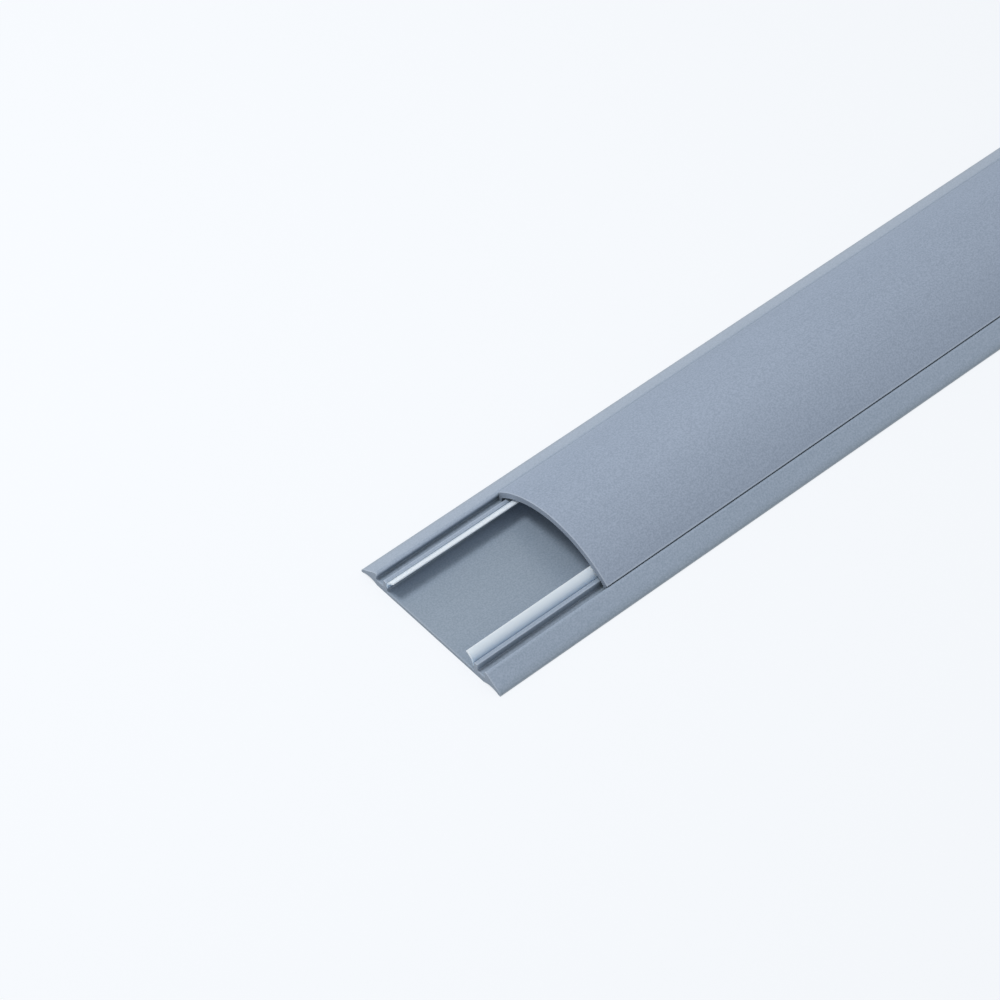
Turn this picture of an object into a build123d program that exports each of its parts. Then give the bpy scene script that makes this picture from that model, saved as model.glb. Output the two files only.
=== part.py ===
from build123d import *
import math
import os

# Floor cable cover: an extruded base with two grooves, an arched cover whose legs stand in them,
# and two soft strips that lean over the cable channel.
# X runs along the length, Y across it, Z up. The origin is the middle of the base's underside.

# Driving sizes of the stock, in millimetres
stock_length = 1000.0
base_width = 70.0
total_height = 16.5
cover_setback = 53.6

# Base section
plate_thickness = 1.3
channel_width = 44.0
rib_width = 1.65
groove_width = 3.3
groove_depth = 2.75
wing_height = 5.35
land_flat = 0.1
land_rounding = 0.44
toe_height = 1.0
toe_width = 0.8
toe_radius = 1.2
nose_radius = 0.7
nose_flat = 0.1
nose_overhang = 0.5
underside_relief = 0.95
rib_radius = 0.25
foot_radius = 0.3

# Cover section
cover_thickness = 2.2
edge_height = 0.35
edge_reach = 0.5
edge_radius = 0.2
leg_width = 1.2
leg_root_radius = 1.0
leg_corner_radius = 0.25
hook_reach = 0.2
hook_tip = 0.25

# Soft lip section
lip_reach = 3.45
lip_thickness = 0.8
lip_bow = 0.6
lip_seat = 1.4
lip_below_rib = 0.55
lip_edge_flat = 0.1

# Clearances between the cover and the base
seam_gap = 0.3
edge_gap = 0.25
leg_floor_gap = 0.3
hook_gap = 0.35
rib_gap = 0.45
lip_gap = 0.9

# Half widths and heights of the base section
half_width = base_width / 2
rib_inner = channel_width / 2
rib_outer = rib_inner + rib_width
wing_inner = rib_outer + groove_width
groove_floor = wing_height - groove_depth
nose_bottom = wing_height - nose_radius - nose_flat

# The legs stand a gap inside the noses, and the cover's edges reach out over them
leg_outer = wing_inner - seam_gap
leg_inner = leg_outer - leg_width
edge_bottom = wing_height + edge_gap

# The arch is a circle through both shoulders and the crown
shoulder = (leg_outer + edge_reach, edge_bottom + edge_height)
arch_rise = total_height - shoulder[1]
arch_radius = (shoulder[0] ** 2 + arch_rise**2) / (2 * arch_rise)
arch_center = total_height - arch_radius
ceiling_radius = arch_radius - cover_thickness


def under_arch(y, gap):
    """Height of the point at half width y that lies a gap below the cover's inner face."""
    return arch_center + math.sqrt((ceiling_radius - gap) ** 2 - y**2)


rib_top = under_arch(rib_outer, rib_gap)


def rounded(sketch, point, radius):
    """Round the corner of a sketch that lies at a point."""
    corner = sketch.vertices().sort_by_distance((*point, 0))[0]
    return fillet(corner, radius)


def both_sides(half):
    """A whole section from its half at positive Y."""
    return half + mirror(half, about=Plane.YZ)


def bar(section, start):
    """A length of stock with a section in Y and Z, from its front end."""
    return extrude(Plane.YZ.offset(start) * section, stock_length)


def base_section():
    relief = ((wing_inner, 0), (half_width - toe_width, 0))
    relief_top = ((relief[0][0] + relief[1][0]) / 2, underside_relief)
    toe = (half_width, toe_height)
    wing_edge = (wing_inner, wing_height)
    land_edge = (wing_inner + nose_radius + land_flat + land_rounding, wing_height)
    nose_root = (wing_inner + nose_overhang, nose_bottom - nose_overhang)
    groove_corner = (wing_inner + nose_overhang, groove_floor)
    rib_foot = (rib_outer, groove_floor)
    rib_edges = ((rib_outer, rib_top), (rib_inner, rib_top))
    plate_corner = (rib_inner, plate_thickness)
    outline = Line((0, 0), relief[0])
    outline += ThreePointArc(relief[0], relief_top, relief[1])
    outline += Polyline(
        relief[1],
        (half_width, 0),
        toe,
        land_edge,
        wing_edge,
        (wing_inner, nose_bottom),
        nose_root,
        groove_corner,
        rib_foot,
        *rib_edges,
        plate_corner,
        (0, plate_thickness),
        (0, 0),
    )
    half = make_face(outline)
    # The rounding takes a set length of the land, whatever the slope beyond it
    slope = math.atan2(wing_height - toe_height, half_width - land_edge[0])
    land_radius = land_rounding / math.tan(slope / 2)
    half = rounded(half, toe, toe_radius)
    half = rounded(half, land_edge, land_radius)
    half = rounded(half, wing_edge, nose_radius)
    for corner in rib_edges:
        half = rounded(half, corner, rib_radius)
    for corner in (groove_corner, rib_foot, plate_corner):
        half = rounded(half, corner, foot_radius)
    return both_sides(half)


def cover_section():
    leg_bottom = groove_floor + leg_floor_gap
    leg_top = (leg_inner, under_arch(leg_inner, 0))
    leg_foot = ((leg_inner, leg_bottom), (leg_outer, leg_bottom))
    # The hook follows the slope under the base's nose, a gap below it
    hook_top = nose_bottom - hook_gap
    hook_edge = (wing_inner + hook_reach, hook_top - hook_reach)
    hook_root = (leg_outer, hook_top + seam_gap)
    crown = (0, total_height)
    ceiling = (0, total_height - cover_thickness)
    outline = RadiusArc(crown, shoulder, arch_radius)
    outline += Polyline(
        shoulder,
        (shoulder[0], edge_bottom),
        (leg_outer, edge_bottom),
        hook_root,
        hook_edge,
        (hook_edge[0], hook_edge[1] - hook_tip),
        *reversed(leg_foot),
        leg_top,
    )
    outline += RadiusArc(leg_top, ceiling, -ceiling_radius)
    outline += Line(ceiling, crown)
    half = make_face(outline)
    half = rounded(half, shoulder, edge_radius)
    half = rounded(half, leg_top, leg_root_radius)
    half = rounded(half, leg_foot[0], leg_corner_radius)
    return both_sides(half)


def lip_section():
    root = Vector(rib_inner, rib_top - lip_below_rib)
    edge_y = rib_inner - lip_reach
    edge = Vector(edge_y, under_arch(edge_y, lip_gap))
    along = (edge - root).normalized()
    outward = Vector(along.Y, -along.X)
    inner_root = root - outward * lip_thickness
    inner_edge = edge - outward * lip_thickness
    bow = outward * lip_bow
    seat_bottom = root.Y - lip_seat
    outline = ThreePointArc(root, (root + edge) / 2 + bow, edge)
    outline += Line(edge, inner_edge)
    outline += ThreePointArc(inner_edge, (inner_root + inner_edge) / 2 + bow, inner_root)
    outline += Polyline(inner_root, (inner_root.X, seat_bottom), (root.X, seat_bottom), root)
    section = make_face(outline)
    free_radius = (lip_thickness - lip_edge_flat) / 2
    for corner in (edge, inner_edge):
        section = rounded(section, (corner.X, corner.Y), free_radius)
    return section


front = -stock_length / 2
lip = lip_section()
pieces = {
    "base": bar(base_section(), front),
    "cover": bar(cover_section(), front + cover_setback),
    "retaining_lip_left": bar(lip, front),
    "retaining_lip_right": bar(mirror(lip, about=Plane.YZ), front),
}

os.makedirs("parts", exist_ok=True)
for name, piece in pieces.items():
    piece.label = name
    export_step(piece, f"parts/{name}.step")
    box = piece.bounding_box()
    print(name, "volume", round(piece.volume), "mm3, box", box.min, box.max)
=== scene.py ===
# %% [markdown]
# # A floor cable cover
# A floor cable cover is two lengths of extruded plastic. A flat base lies on the floor with a channel
# along its middle, and an arched cover stands in two grooves of the base and closes the channel, so
# that people can walk over it. Two soft strips lean in over the channel and hold its contents down
# while the cover goes on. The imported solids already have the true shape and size, so this lesson loads
# them as a fixed frame. It then pushes their outlines out again with smoother curves, and spends the
# rest of its work on light and on surfaces.

# %% Load the frame
import math

import bmesh
import bpy
from mathutils import Matrix, Vector


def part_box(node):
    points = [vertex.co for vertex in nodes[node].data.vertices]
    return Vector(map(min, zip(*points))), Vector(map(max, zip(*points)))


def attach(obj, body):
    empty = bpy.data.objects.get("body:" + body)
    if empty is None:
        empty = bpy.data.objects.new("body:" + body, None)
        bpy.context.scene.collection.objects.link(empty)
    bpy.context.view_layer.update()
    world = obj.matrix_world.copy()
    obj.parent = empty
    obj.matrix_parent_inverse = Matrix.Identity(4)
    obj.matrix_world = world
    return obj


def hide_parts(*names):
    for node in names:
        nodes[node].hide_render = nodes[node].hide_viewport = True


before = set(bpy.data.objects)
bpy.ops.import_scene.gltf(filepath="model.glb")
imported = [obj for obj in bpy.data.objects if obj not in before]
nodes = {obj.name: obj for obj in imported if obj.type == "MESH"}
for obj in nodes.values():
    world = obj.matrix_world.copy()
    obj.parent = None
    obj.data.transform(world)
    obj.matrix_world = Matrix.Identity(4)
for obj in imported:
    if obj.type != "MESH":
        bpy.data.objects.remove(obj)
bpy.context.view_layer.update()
scene = bpy.context.scene
# Blender counts in metres. The object's own sizes are written in millimetres and multiplied by this.
MM = 0.001

for name in nodes:
    low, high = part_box(name)
    print(name, "from", [round(v / MM, 1) for v in low], "to", [round(v / MM, 1) for v in high], "mm")

# %% [markdown]
# ## Colours
# Designers write colours as sRGB hex values, while a renderer adds up light in linear values. One
# function does the conversion for every colour in the file, so each one can be read and changed by eye.
# The numbers in it are those of the sRGB standard.


# %% From hex to linear
def linear(hex_colour):
    channels = [int(hex_colour[i : i + 2], 16) / 255 for i in (1, 3, 5)]
    straightened = [c / 12.92 if c <= 0.04045 else ((c + 0.055) / 1.055) ** 2.4 for c in channels]
    return (*straightened, 1.0)


print("middle grey #808080 is", round(linear("#808080")[0], 3), "in linear light")

# %% [markdown]
# ## The camera
# The cover is seen from above its open end through a long lens, which keeps the long edges nearly
# parallel and lets the far end run out of the picture. A camera can be placed by typing in a location
# and a rotation, but the two then have to be changed together. Here it is placed by the point it aims
# at, two angles and a distance, because those can be changed one at a time.

# %% Camera
front_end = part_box("base")[0].x
AIM = Vector((front_end + 55.19 * MM, 28.1 * MM, 0))
AZIMUTH = math.radians(-41.236)
ELEVATION = math.radians(49.342)
DISTANCE = 1261.4 * MM
LENS = 134.4
SENSOR_WIDTH = 36

level = math.cos(ELEVATION)
towards_camera = Vector((math.sin(AZIMUTH) * level, -math.cos(AZIMUTH) * level, math.sin(ELEVATION)))
camera_data = bpy.data.cameras.new("product_camera")
camera_data.lens = LENS
camera_data.sensor_width = SENSOR_WIDTH
camera = bpy.data.objects.new("product_camera", camera_data)
camera.location = AIM + towards_camera * DISTANCE
camera.rotation_euler = (-towards_camera).to_track_quat("-Z", "Y").to_euler()
scene.collection.objects.link(camera)
scene.camera = camera
print("camera at", [round(v, 3) for v in camera.location], "m")

# %% [markdown]
# ## Adding nodes
# Every material below is a graph of shader nodes. This one function adds a node, sets its options and
# fills its inputs, with plain values or with links from the nodes before it. Written out each time, the
# same graph would take four or five lines for every node.


# %% Add a node
def add(tree, kind, inputs=None, **settings):
    node = tree.nodes.new("ShaderNode" + kind)
    for key, value in settings.items():
        setattr(node, key, value)
    for key, value in (inputs or {}).items():
        if isinstance(value, bpy.types.NodeSocket):
            tree.links.new(value, node.inputs[key])
        else:
            node.inputs[key].default_value = value
    return node


def new_material(name):
    material = bpy.data.materials.new(name)
    material.use_nodes = True
    material.node_tree.nodes.clear()
    return material, material.node_tree


print("shader nodes of Blender", bpy.app.version_string)

# %% [markdown]
# ## A white studio
# The cover lies on white backdrop paper that runs out of sight. A bright paper would need strong lamps,
# and those would wash out the grey plastic. So the rays that show the background, straight to the
# camera or by way of a reflection, see a share of plain white, and the rest of the paper is lit as
# usual. The light on the object stays plain, and the paper still shows its soft shadow.

# %% Rays that show the background
PAPER_WHITE = linear("#F7FAFE")


def background_rays(tree):
    path = add(tree, "LightPath")
    shown = path.outputs["Is Camera Ray"]
    for other in ("Is Glossy Ray", "Is Transmission Ray"):
        shown = add(tree, "Math", {0: shown, 1: path.outputs[other]}, operation="MAXIMUM").outputs[0]
    return shown


print("paper white is", [round(v, 2) for v in PAPER_WHITE[:3]], "in linear light")

# %% Backdrop paper
# Matt paper has no gloss. To the eye it is one even white, with a soft shadow beside the bar.
FLOOR_SIZE = 30.0
GLOW_SHARE = 0.75

half = FLOOR_SIZE / 2
floor_mesh = bpy.data.meshes.new("studio_floor")
floor_corners = [(-half, -half, 0), (half, -half, 0), (half, half, 0), (-half, half, 0)]
floor_mesh.from_pydata(floor_corners, [], [(0, 1, 2, 3)])
floor = bpy.data.objects.new("studio_floor", floor_mesh)
scene.collection.objects.link(floor)

paper, tree = new_material("matt_white_backdrop_paper")
lit = add(tree, "BsdfDiffuse", {"Color": PAPER_WHITE})
glow = add(tree, "Emission", {"Color": PAPER_WHITE, "Strength": 1.0})
share = add(tree, "Math", {0: background_rays(tree), 1: GLOW_SHARE}, operation="MULTIPLY")
mixed = add(tree, "MixShader", {0: share.outputs[0], 1: lit.outputs[0], 2: glow.outputs[0]})
add(tree, "OutputMaterial", {"Surface": mixed.outputs[0]})
floor_mesh.materials.append(paper)
print("floor", FLOOR_SIZE, "m wide, with", GLOW_SHARE, "of its white from glow")

# %% [markdown]
# ## Light
# About half of the light comes evenly from all round, as in a white tent. The rest comes from one
# softbox, high up at the left of the open end. A bare lamp would draw hard shadows across the rails.
# The softbox stands so high that its light reaches into the grooves but leaves a narrow soft shadow
# beside each rail, and those shadows are what lets the eye read the section. From in front it also
# lights the channel a little way in under the cover.

# %% White tent
ROOM_LIGHT = 0.55
TENT_WHITE = 0.75

world = bpy.data.worlds.new("white_tent")
scene.world = world
world.use_nodes = True
tree = world.node_tree
tree.nodes.clear()
room = add(tree, "Background", {"Color": linear("#FFFFFF"), "Strength": ROOM_LIGHT})
seen = add(tree, "Background", {"Color": PAPER_WHITE, "Strength": TENT_WHITE})
mixed = add(tree, "MixShader", {0: background_rays(tree), 1: room.outputs[0], 2: seen.outputs[0]})
add(tree, "OutputWorld", {"Surface": mixed.outputs[0]})
print("tent lights with a strength of", ROOM_LIGHT)

# %% Softbox
LIT_POINT = Vector((front_end + 120 * MM, 0, 0))
SOFTBOX_HEIGHT = math.radians(64)
SOFTBOX_TURN = math.radians(45)
SOFTBOX_DISTANCE = 1.0
SOFTBOX_SIZE = 0.3
SOFTBOX_POWER = 4.6

lamp = bpy.data.lights.new("left_softbox", "AREA")
lamp.shape = "SQUARE"
lamp.size = SOFTBOX_SIZE
lamp.energy = SOFTBOX_POWER
stand = bpy.data.objects.new("left_softbox", lamp)
sideways = Vector((-math.sin(SOFTBOX_TURN), math.cos(SOFTBOX_TURN), 0))
from_point = sideways * math.cos(SOFTBOX_HEIGHT) + Vector((0, 0, math.sin(SOFTBOX_HEIGHT)))
stand.location = LIT_POINT + SOFTBOX_DISTANCE * from_point
stand.rotation_euler = from_point.to_track_quat("Z", "Y").to_euler()
scene.collection.objects.link(stand)
print("softbox", SOFTBOX_POWER, "W at", [round(v, 2) for v in stand.location], "m")

# %% [markdown]
# ## Pushing the sections out again
# An extruder makes a bar by pushing one outline straight out of a die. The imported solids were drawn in
# the same way, but they show each curve as a few flat facets, and those catch the eye along the cover's
# arched rim. A subdivision modifier would round the sharp edges as well as the curves. So this step
# reads the outline of a sawn end, divides only its curves, and pushes it out to the same length again.

# %% Outline of a sawn end
TOUCHING = 0.001


def sawn_outline(name):
    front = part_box(name)[0].x
    shape = bmesh.new()
    shape.from_mesh(nodes[name].data)
    bmesh.ops.remove_doubles(shape, verts=shape.verts, dist=TOUCHING * MM)
    end = {f for f in shape.faces if all(v.co.x - front < TOUCHING * MM for v in f.verts)}
    # An edge of the rim has one face of the end beside it, and an edge within the end has two.
    rim = [e for e in shape.edges if len(end.intersection(e.link_faces)) == 1]
    beside = {}
    for edge in rim:
        for vert in edge.verts:
            beside.setdefault(vert, []).append(edge.other_vert(vert))
    first, here = rim[0].verts
    walk = [first]
    while here != first:
        onward = next(vert for vert in beside[here] if vert != walk[-1])
        walk.append(here)
        here = onward
    outline = [Vector((vert.co.y, vert.co.z)) for vert in walk]
    shape.free()
    # The area is positive when the walk went anticlockwise, as the faces of the bar need it.
    area = sum(a.cross(b) for a, b in zip(outline, outline[1:] + outline[:1])) / 2
    return outline if area > 0 else outline[::-1]


print("outline of the cover:", len(sawn_outline("cover")), "points")

# %% [markdown]
# A curve shows in the outline as neighbouring facets of one length that turn a little, and the turn
# between two of them is the bend of the true curve over each. That gives its radius, so the new points
# lie on the true circle. A straight facet has no such neighbour and stays as it is.

# %% Bend of a facet
LIKE_LENGTH = 0.02
LEAST_TURN = math.radians(0.5)
MOST_TURN = math.radians(35)


def bend_of(before, chord, after):
    for first, second in ((before, chord), (chord, after)):
        turn = math.atan2(first.cross(second), first.dot(second))
        alike = abs(first.length - second.length) < LIKE_LENGTH * chord.length
        if alike and LEAST_TURN < abs(turn) < MOST_TURN:
            return turn
    return 0.0


print("facets that turn by up to", round(math.degrees(MOST_TURN)), "degrees count as curves")

# %% Rounder curves
FACET_HEIGHT = 0.005


def points_on_curve(start, chord, bend):
    height = chord.length / 2 * math.tan(abs(bend) / 4)
    steps = math.ceil(math.sqrt(height / (FACET_HEIGHT * MM)))
    radius = chord.length / (2 * math.sin(bend / 2))
    along = Matrix.Rotation(-bend / 2, 2) @ chord.normalized()
    inward = Vector((-along.y, along.x))
    angles = [bend * step / steps for step in range(1, steps)]
    return [start + radius * (math.sin(a) * along + (1 - math.cos(a)) * inward) for a in angles]


def rounder(outline):
    finer = []
    around = outline[-1:] + outline + outline[:2]
    for previous, start, end, following in zip(around, around[1:], around[2:], around[3:]):
        finer.append(start)
        bend = bend_of(start - previous, end - start, following - end)
        if bend:
            finer += points_on_curve(start, end - start, bend)
    return finer


print("rounder outline of the cover:", len(rounder(sawn_outline("cover"))), "points")

# %% [markdown]
# Pushing out means a ring of points at each place along the bar, a band of faces between one ring and
# the next, and a face over each sawn end. The base and the cover are straight, so two rings are enough.
# Each new bar then stands for its imported node and rides on the same body.

# %% Rings to mesh
SHARP_ANGLE = math.radians(35)


def pushed_out(name, rings):
    count = len(rings[0])
    faces = [tuple(reversed(range(count)))]
    for ring in range(len(rings) - 1):
        for point in range(count):
            across = (point + 1) % count
            band = ((ring, point), (ring, across), (ring + 1, across), (ring + 1, point))
            faces.append(tuple(r * count + p for r, p in band))
    faces.append(tuple(range((len(rings) - 1) * count, len(rings) * count)))
    mesh = bpy.data.meshes.new(name)
    mesh.from_pydata([point for ring in rings for point in ring], [], faces)
    mesh.shade_smooth()
    mesh.set_sharp_from_angle(angle=SHARP_ANGLE)
    return mesh


print("edges of more than", round(math.degrees(SHARP_ANGLE)), "degrees stay sharp")


# %% Base and cover
def seat(mesh, node, body):
    piece = bpy.data.objects.new(mesh.name, mesh)
    scene.collection.objects.link(piece)
    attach(piece, body)
    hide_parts(node)
    print(piece.name, "has", len(mesh.polygons), "faces")
    return piece


def straight_bar(name, node):
    low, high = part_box(node)
    outline = rounder(sawn_outline(node))
    rings = [[(x, *point) for point in outline] for x in (low.x, high.x)]
    return seat(pushed_out(name, rings), node, node)


base = straight_bar("channel_base", "base")
cover = straight_bar("arched_cover", "cover")

# %% [markdown]
# ## What extrusion leaves on the plastic
# Rigid PVC is pushed hot through a steel die and drawn through water to cool. The die leaves faint
# lines that run along the bar, the cooling a fine dull grain, and the mixing of the compound a slow
# drift of tone. An image would have to be unwrapped onto the bar and would repeat along it. Noise needs
# neither, so each pattern is noise of a real size in millimetres, stretched along the bar where the
# real one is.

# %% Patterns from noise
# The real grain is about 0.05 mm. It is drawn twelve times as coarse, because finer would not show.
PATTERNS = {
    "die_lines": {"along": 300.0, "across": 0.5, "detail": 2.0},
    "grain": {"along": 0.6, "across": 0.6, "detail": 1.0},
    "drift": {"along": 140.0, "across": 22.0, "detail": 2.0},
}
NOISE_LOW = 0.32
NOISE_HIGH = 0.68


def extrusion_patterns(tree, place):
    found = {}
    for pattern, size in PATTERNS.items():
        across = 1 / (size["across"] * MM)
        cells = (1 / (size["along"] * MM), across, across)
        spread = add(tree, "VectorMath", {0: place.outputs["Object"], 1: cells}, operation="MULTIPLY")
        cloud = {"Vector": spread.outputs[0], "Scale": 1.0, "Detail": size["detail"]}
        noise = add(tree, "TexNoise", cloud)
        full = {"Value": noise.outputs["Fac"], "From Min": NOISE_LOW, "From Max": NOISE_HIGH}
        found[pattern] = add(tree, "MapRange", full).outputs[0]
    return found


print("patterns:", ", ".join(PATTERNS))

# %% [markdown]
# ## What the saw leaves
# A circular saw cuts the bar to length and leaves dull ends with tooth marks, and their colour is painted
# darker, as painted shade on the ends. They are the faces that look along the bar, so the object's own
# normal finds them. A second material on those faces would do as well, but this way the bar keeps one.
# The marks are arcs about the blade's centre, so rings around a point beside and above the bar draw them,
# a little uneven as the teeth are.

# %% Sawn ends
END_FACING_FROM = 0.9
END_FACING_TO = 0.98
BLADE_CENTRE = (0, 70 * MM, 110 * MM)
TOOTH_PITCH = 0.7
TOOTH_UNEVENNESS = 1.5
TOOTH_DETAIL = 2.0
# At a scale of 1, the ring texture has this many rings to a unit of length.
RINGS_PER_UNIT = 20 / math.tau


def sawn_ends(tree, place):
    facing = add(tree, "SeparateXYZ", {0: place.outputs["Normal"]})
    along = add(tree, "Math", {0: facing.outputs["X"]}, operation="ABSOLUTE")
    ends = {"Value": along.outputs[0], "From Min": END_FACING_FROM, "From Max": END_FACING_TO}
    ends = add(tree, "MapRange", ends).outputs[0]
    from_blade = {0: place.outputs["Object"], 1: BLADE_CENTRE}
    from_blade = add(tree, "VectorMath", from_blade, operation="SUBTRACT")
    rings = {
        "Vector": from_blade.outputs[0],
        "Scale": 1 / (TOOTH_PITCH * MM * RINGS_PER_UNIT),
        "Distortion": TOOTH_UNEVENNESS,
        "Detail": TOOTH_DETAIL,
    }
    arcs = add(tree, "TexWave", rings, wave_type="RINGS", rings_direction="X")
    marks = add(tree, "Math", {0: arcs.outputs["Fac"], 1: ends}, operation="MULTIPLY")
    return ends, marks.outputs[0]


print("tooth marks every", TOOTH_PITCH, "mm")

# %% [markdown]
# ## Painted highlights and painted shade
# The long corners are painted a little paler, as painted highlights. An ambient occlusion node that looks
# into the plastic finds them, because at a corner the other face is close by. The same node, looking
# outwards, finds the creases, which are painted darker as painted shade: the grooves, the feet of the
# ribs and the seam along the cover. The lowest faces are painted darker too, as painted shade by their
# height above the floor. Such places could be painted by hand, but the nodes find them on a bar of any
# size.

# %% Painted highlights and painted shade
FEELER_RAYS = 8
HIGHLIGHT_REACH = 0.7
CREASE_DEPTH = 4.0
# The painted highlights and the painted shade begin and are full where these shares of the rays meet
# nothing.
HIGHLIGHT_BEGINS = 0.95
HIGHLIGHT_IS_FULL = 0.55
SHADE_BEGINS = 0.8
SHADE_IS_FULL = 0.25
# Below this height in mm the faces are painted darker, as painted shade.
LOW_SHADE_BELOW = 2.4
LOW_SHADE_SHARE = 0.9


# Painted highlights: the convex corners that the inward-looking node finds are painted paler.
def painted_corner_highlights(tree):
    reach = {"Distance": HIGHLIGHT_REACH * MM}
    inner = add(tree, "AmbientOcclusion", reach, inside=True, only_local=True, samples=FEELER_RAYS)
    painted_highlight = {"Value": inner.outputs["AO"], "From Min": HIGHLIGHT_BEGINS, "From Max": HIGHLIGHT_IS_FULL}
    return add(tree, "MapRange", painted_highlight).outputs[0]


# Painted shade: the creases that the outward-looking node finds, and the faces lowest above the floor,
# are painted darker.
def painted_shade_places(tree, place):
    reach = {"Distance": CREASE_DEPTH * MM}
    open_sky = add(tree, "AmbientOcclusion", reach, samples=FEELER_RAYS)
    creases = {"Value": open_sky.outputs["AO"], "From Min": SHADE_BEGINS, "From Max": SHADE_IS_FULL}
    creases = add(tree, "MapRange", creases)
    height = add(tree, "SeparateXYZ", {0: place.outputs["Object"]}).outputs["Z"]
    low_shade = {"Value": height, "From Min": LOW_SHADE_BELOW * MM, "From Max": 0, "To Max": LOW_SHADE_SHARE}
    low_shade = add(tree, "MapRange", low_shade)
    both = add(tree, "Math", {0: creases.outputs[0], 1: low_shade.outputs[0]}, operation="MAXIMUM")
    return both.outputs[0]


# These are the painted highlights on the corners and the painted shade in the creases.
print("corners rubbed for", HIGHLIGHT_REACH, "mm, dust within", CREASE_DEPTH, "mm of a crease")

# %% [markdown]
# ## Extruded rigid PVC
# The base and the cover are the same blue-grey compound, with an index of refraction near 1.53. They
# differ only in skin, so one function makes both from a few values. It mixes two tones by the patterns,
# lays over them painted highlights on the corners, painted shade in the creases and on the lowest faces,
# and painted shade on the sawn ends, and lets the patterns bend the light with bump.

# %% Tone and relief
# A colour Mix node has its factor, its two colours and its result in these places.
MIX_FACTOR = 0
MIX_FIRST = 6
MIX_SECOND = 7
MIX_RESULT = 2
TONE_WEIGHTS = {"grain": 0.7, "drift": 0.2, "die_lines": 0.1}


def plastic_tone(tree, pattern, deep, pale):
    share = 0.0
    for kind, weight in TONE_WEIGHTS.items():
        sum_so_far = {0: pattern[kind], 1: weight, 2: share}
        share = add(tree, "Math", sum_so_far, operation="MULTIPLY_ADD").outputs[0]
    tones = {MIX_FACTOR: share, MIX_FIRST: linear(deep), MIX_SECOND: linear(pale)}
    return add(tree, "Mix", tones, data_type="RGBA").outputs[MIX_RESULT]


def laid_over(tree, tone, mask, strength, colour):
    part = add(tree, "Math", {0: mask, 1: strength}, operation="MULTIPLY").outputs[0]
    tones = {MIX_FACTOR: part, MIX_FIRST: tone, MIX_SECOND: linear(colour)}
    return add(tree, "Mix", tones, data_type="RGBA").outputs[MIX_RESULT]


def relief(tree, layers):
    normal = None
    for height, depth in layers:
        layer = {"Height": height, "Distance": depth * MM}
        if normal:
            layer["Normal"] = normal
        normal = add(tree, "Bump", layer).outputs[0]
    return normal


print("tone from", ", ".join(TONE_WEIGHTS))

# %% One function for both skins
PVC_IOR = 1.53
# Colour and share of the painted shade in the creases and on the lowest faces.
PAINTED_SHADE_COLOUR = "#4A584C"
PAINTED_SHADE_SHARE = 0.4
SAWN_SHADE_SHARE = 0.7
TOOTH_DEPTH = 0.03


def extruded_pvc(name, look):
    material, tree = new_material(name)
    place = add(tree, "TexCoord")
    pattern = extrusion_patterns(tree, place)
    ends, tooth_marks = sawn_ends(tree, place)

    tone = plastic_tone(tree, pattern, look["deep"], look["pale"])
    # Painted highlights on the long corners.
    tone = laid_over(tree, tone, painted_corner_highlights(tree), look["painted_highlight_share"], look["painted_highlight"])
    # Painted shade in the creases and on the lowest faces.
    tone = laid_over(tree, tone, painted_shade_places(tree, place), PAINTED_SHADE_SHARE, PAINTED_SHADE_COLOUR)
    # The sawn ends are painted darker, as painted shade.
    tone = laid_over(tree, tone, ends, SAWN_SHADE_SHARE, look["sawn_shade"])

    dull = {"Value": pattern["die_lines"], "To Min": look["smoothest"], "To Max": look["dullest"]}
    dull = add(tree, "MapRange", dull).outputs[0]
    dull = {0: ends, 1: look["sawn_dulling"], 2: dull}
    dull = add(tree, "Math", dull, operation="MULTIPLY_ADD").outputs[0]

    layers = (
        (pattern["die_lines"], look["line_depth"]),
        (pattern["grain"], look["grain_depth"]),
        (tooth_marks, TOOTH_DEPTH),
    )
    surface = {
        "Base Color": tone,
        "Roughness": dull,
        "Specular IOR Level": look["specular"],
        "IOR": PVC_IOR,
        "Normal": relief(tree, layers),
    }
    shader = add(tree, "BsdfPrincipled", surface)
    add(tree, "OutputMaterial", {"Surface": shader.outputs[0]})
    return material


print("tooth marks", TOOTH_DEPTH, "mm deep")

# %% [markdown]
# The base comes out of a polished die and keeps a satin skin. Its gloss stays at the usual level for
# plastic, and its roughness is near 0.3, because a smoother skin would mirror the softbox in the ramps.

# %% Satin base
# A satin skin gives the eye a broad soft sheen, which lifts the ramp that faces the light.
satin_base = extruded_pvc(
    "extruded_rigid_pvc_satin",
    {
        "deep": "#8999AB",
        "pale": "#9FADC0",
        # Colour of the painted highlights on the corners, and their share.
        "painted_highlight": "#B4C0CF",
        "painted_highlight_share": 0.75,
        # Colour of the sawn ends: dull, and painted darker as painted shade.
        "sawn_shade": "#828E9C",
        "sawn_dulling": 0.3,
        "smoothest": 0.28,
        "dullest": 0.33,
        "specular": 0.5,
        "line_depth": 0.0005,
        "grain_depth": 0.003,
    },
)
base.data.materials.append(satin_base)
print("base:", satin_base.name)

# %% [markdown]
# The cover is walked on, so its skin is matt and grips better. Roughness alone would still leave a pale
# veil on the side away from the light, so its gloss is turned down as well, and its grain is deeper.

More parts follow.
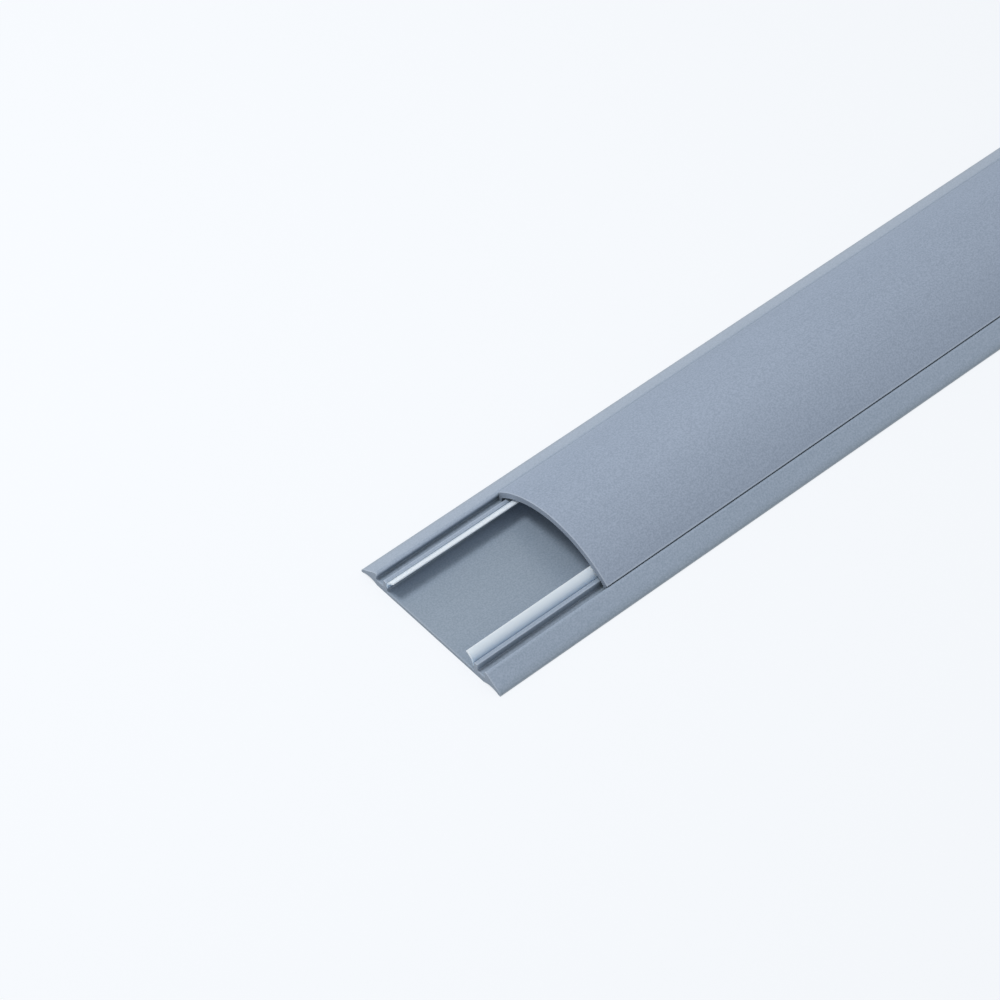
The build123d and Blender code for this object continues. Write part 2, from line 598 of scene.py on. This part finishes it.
# %% Matt cover
# A matt skin gives the eye one even tone with hardly a highlight, so the arch shows by its shade.
matt_cover = extruded_pvc(
    "extruded_rigid_pvc_matt",
    {
        "deep": "#8E9BAD",
        "pale": "#A3B0C3",
        # Colour of the painted highlights on the corners, and their share.
        "painted_highlight": "#BAC5D4",
        "painted_highlight_share": 0.7,
        # Colour of the sawn ends: dull, and painted darker as painted shade.
        "sawn_shade": "#919CAA",
        "sawn_dulling": 0.2,
        "smoothest": 0.6,
        "dullest": 0.7,
        "specular": 0.05,
        "line_depth": 0.001,
        "grain_depth": 0.008,
    },
)
cover.data.materials.append(matt_cover)
print("cover:", matt_cover.name)

# %% [markdown]
# ## The soft strips
# A thin strip of soft PVC is fused along the top of each inner rib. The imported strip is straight, but a
# real one is limp: after sawing it relaxes, and its free edge runs in long shallow waves. A cloth
# simulation could find them, but they are so slight that two sine waves do. So a strip is pushed out in
# many short steps, and each ring of its outline leans in or out by those waves, which fade to nothing
# at the root. It stays clear of the cover, which passes just above it.

# %% Limp strips
SLICE = 8.0
WAVES = (
    {"length": 310.0, "depth": 0.14, "start": 0.4},
    {"length": 127.0, "depth": 0.07, "start": 2.1},
)


def relaxed_lean(x):
    lean = 0.0
    for wave in WAVES:
        angle = math.tau * x / (wave["length"] * MM) + wave["start"]
        lean += wave["depth"] * MM * math.sin(angle)
    return lean


def soft_strip(side):
    node = "retaining_lip_" + side
    low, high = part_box(node)
    outward = 1 if low.y > 0 else -1
    outline = rounder(sawn_outline(node))
    slices = round((high.x - low.x) / (SLICE * MM))
    rings = []
    for number in range(slices + 1):
        x = low.x + (high.x - low.x) * number / slices
        ring = []
        for y, z in outline:
            lean = relaxed_lean(x * outward) * ((z - low.z) / (high.z - low.z)) ** 2
            ring.append((x, y + outward * lean, z + lean))
        rings.append(ring)
    return seat(pushed_out("soft_strip_" + side, rings), node, "base")


strips = [soft_strip(side) for side in ("left", "right")]

# %% [markdown]
# ## Extruded soft PVC
# Soft PVC holds about a third of its weight in plasticiser, which keeps it limp. This grade is milky:
# transmission would show it as clear as glass, so light scatters below its skin instead. Along the root
# the strip is fused to the grey rib, and the grey shows through it. Its colour is also painted darker
# towards the root as painted shade, and fades from there to the free edge. Its skin is smooth and a
# little greasy, with a roughness near 0.3.

# %% Milky soft PVC
# Light goes in, scatters and comes out nearby, so to the eye the strip glows softly at its free edge.
SOFT_PVC_IOR = 1.52
SCATTER_SHARE = 0.7
SCATTER_DEPTH = 1.2
SCATTER_OF_RED_GREEN_BLUE = (1.0, 1.0, 1.0)
# Towards the root the strip is painted greyer: partly the rib's grey showing through, partly painted
# shade.
SHADED_ROOT_GREY = "#A5BCD4"
MILK = "#D7E2ED"
PALE_MILK = "#DFE8F1"
ROOT_FADE_FROM = 0.25
ROOT_FADE_TO = 0.92
SOFT_SMOOTHEST = 0.27
SOFT_DULLEST = 0.36
SOFT_LINE_DEPTH = 0.006


def shaded_root_fade(tree, place, low, high):
    height = add(tree, "SeparateXYZ", {0: place.outputs["Object"]}).outputs["Z"]
    rise = high.z - low.z
    fade_from = low.z + ROOT_FADE_FROM * rise
    fade = {"Value": height, "From Min": fade_from, "From Max": low.z + ROOT_FADE_TO * rise}
    return add(tree, "MapRange", fade, interpolation_type="SMOOTHSTEP").outputs[0]


def extruded_soft_pvc(low, high):
    material, tree = new_material("extruded_soft_pvc_milky")
    place = add(tree, "TexCoord")
    pattern = extrusion_patterns(tree, place)

    milk = {MIX_FACTOR: pattern["drift"], MIX_FIRST: linear(MILK), MIX_SECOND: linear(PALE_MILK)}
    milk = add(tree, "Mix", milk, data_type="RGBA").outputs[MIX_RESULT]
    # Painted shade: darker at the root, fading to milk towards the free edge.
    fade = shaded_root_fade(tree, place, low, high)
    tone = {MIX_FACTOR: fade, MIX_FIRST: linear(SHADED_ROOT_GREY), MIX_SECOND: milk}
    tone = add(tree, "Mix", tone, data_type="RGBA").outputs[MIX_RESULT]
    dull = {"Value": pattern["die_lines"], "To Min": SOFT_SMOOTHEST, "To Max": SOFT_DULLEST}
    dull = add(tree, "MapRange", dull).outputs[0]

    surface = {
        "Base Color": tone,
        "Roughness": dull,
        "IOR": SOFT_PVC_IOR,
        "Subsurface Weight": SCATTER_SHARE,
        "Subsurface Radius": SCATTER_OF_RED_GREEN_BLUE,
        "Subsurface Scale": SCATTER_DEPTH * MM,
        "Normal": relief(tree, [(pattern["die_lines"], SOFT_LINE_DEPTH)]),
    }
    shader = add(tree, "BsdfPrincipled", surface)
    add(tree, "OutputMaterial", {"Surface": shader.outputs[0]})
    return material


milky = extruded_soft_pvc(*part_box("retaining_lip_left"))
for strip in strips:
    strip.data.materials.append(milky)
print("strips:", milky.name)

# %% [markdown]
# ## Finish
# The standard view shows each colour as it was mixed.

# %% Finish
scene.view_settings.view_transform = "Standard"
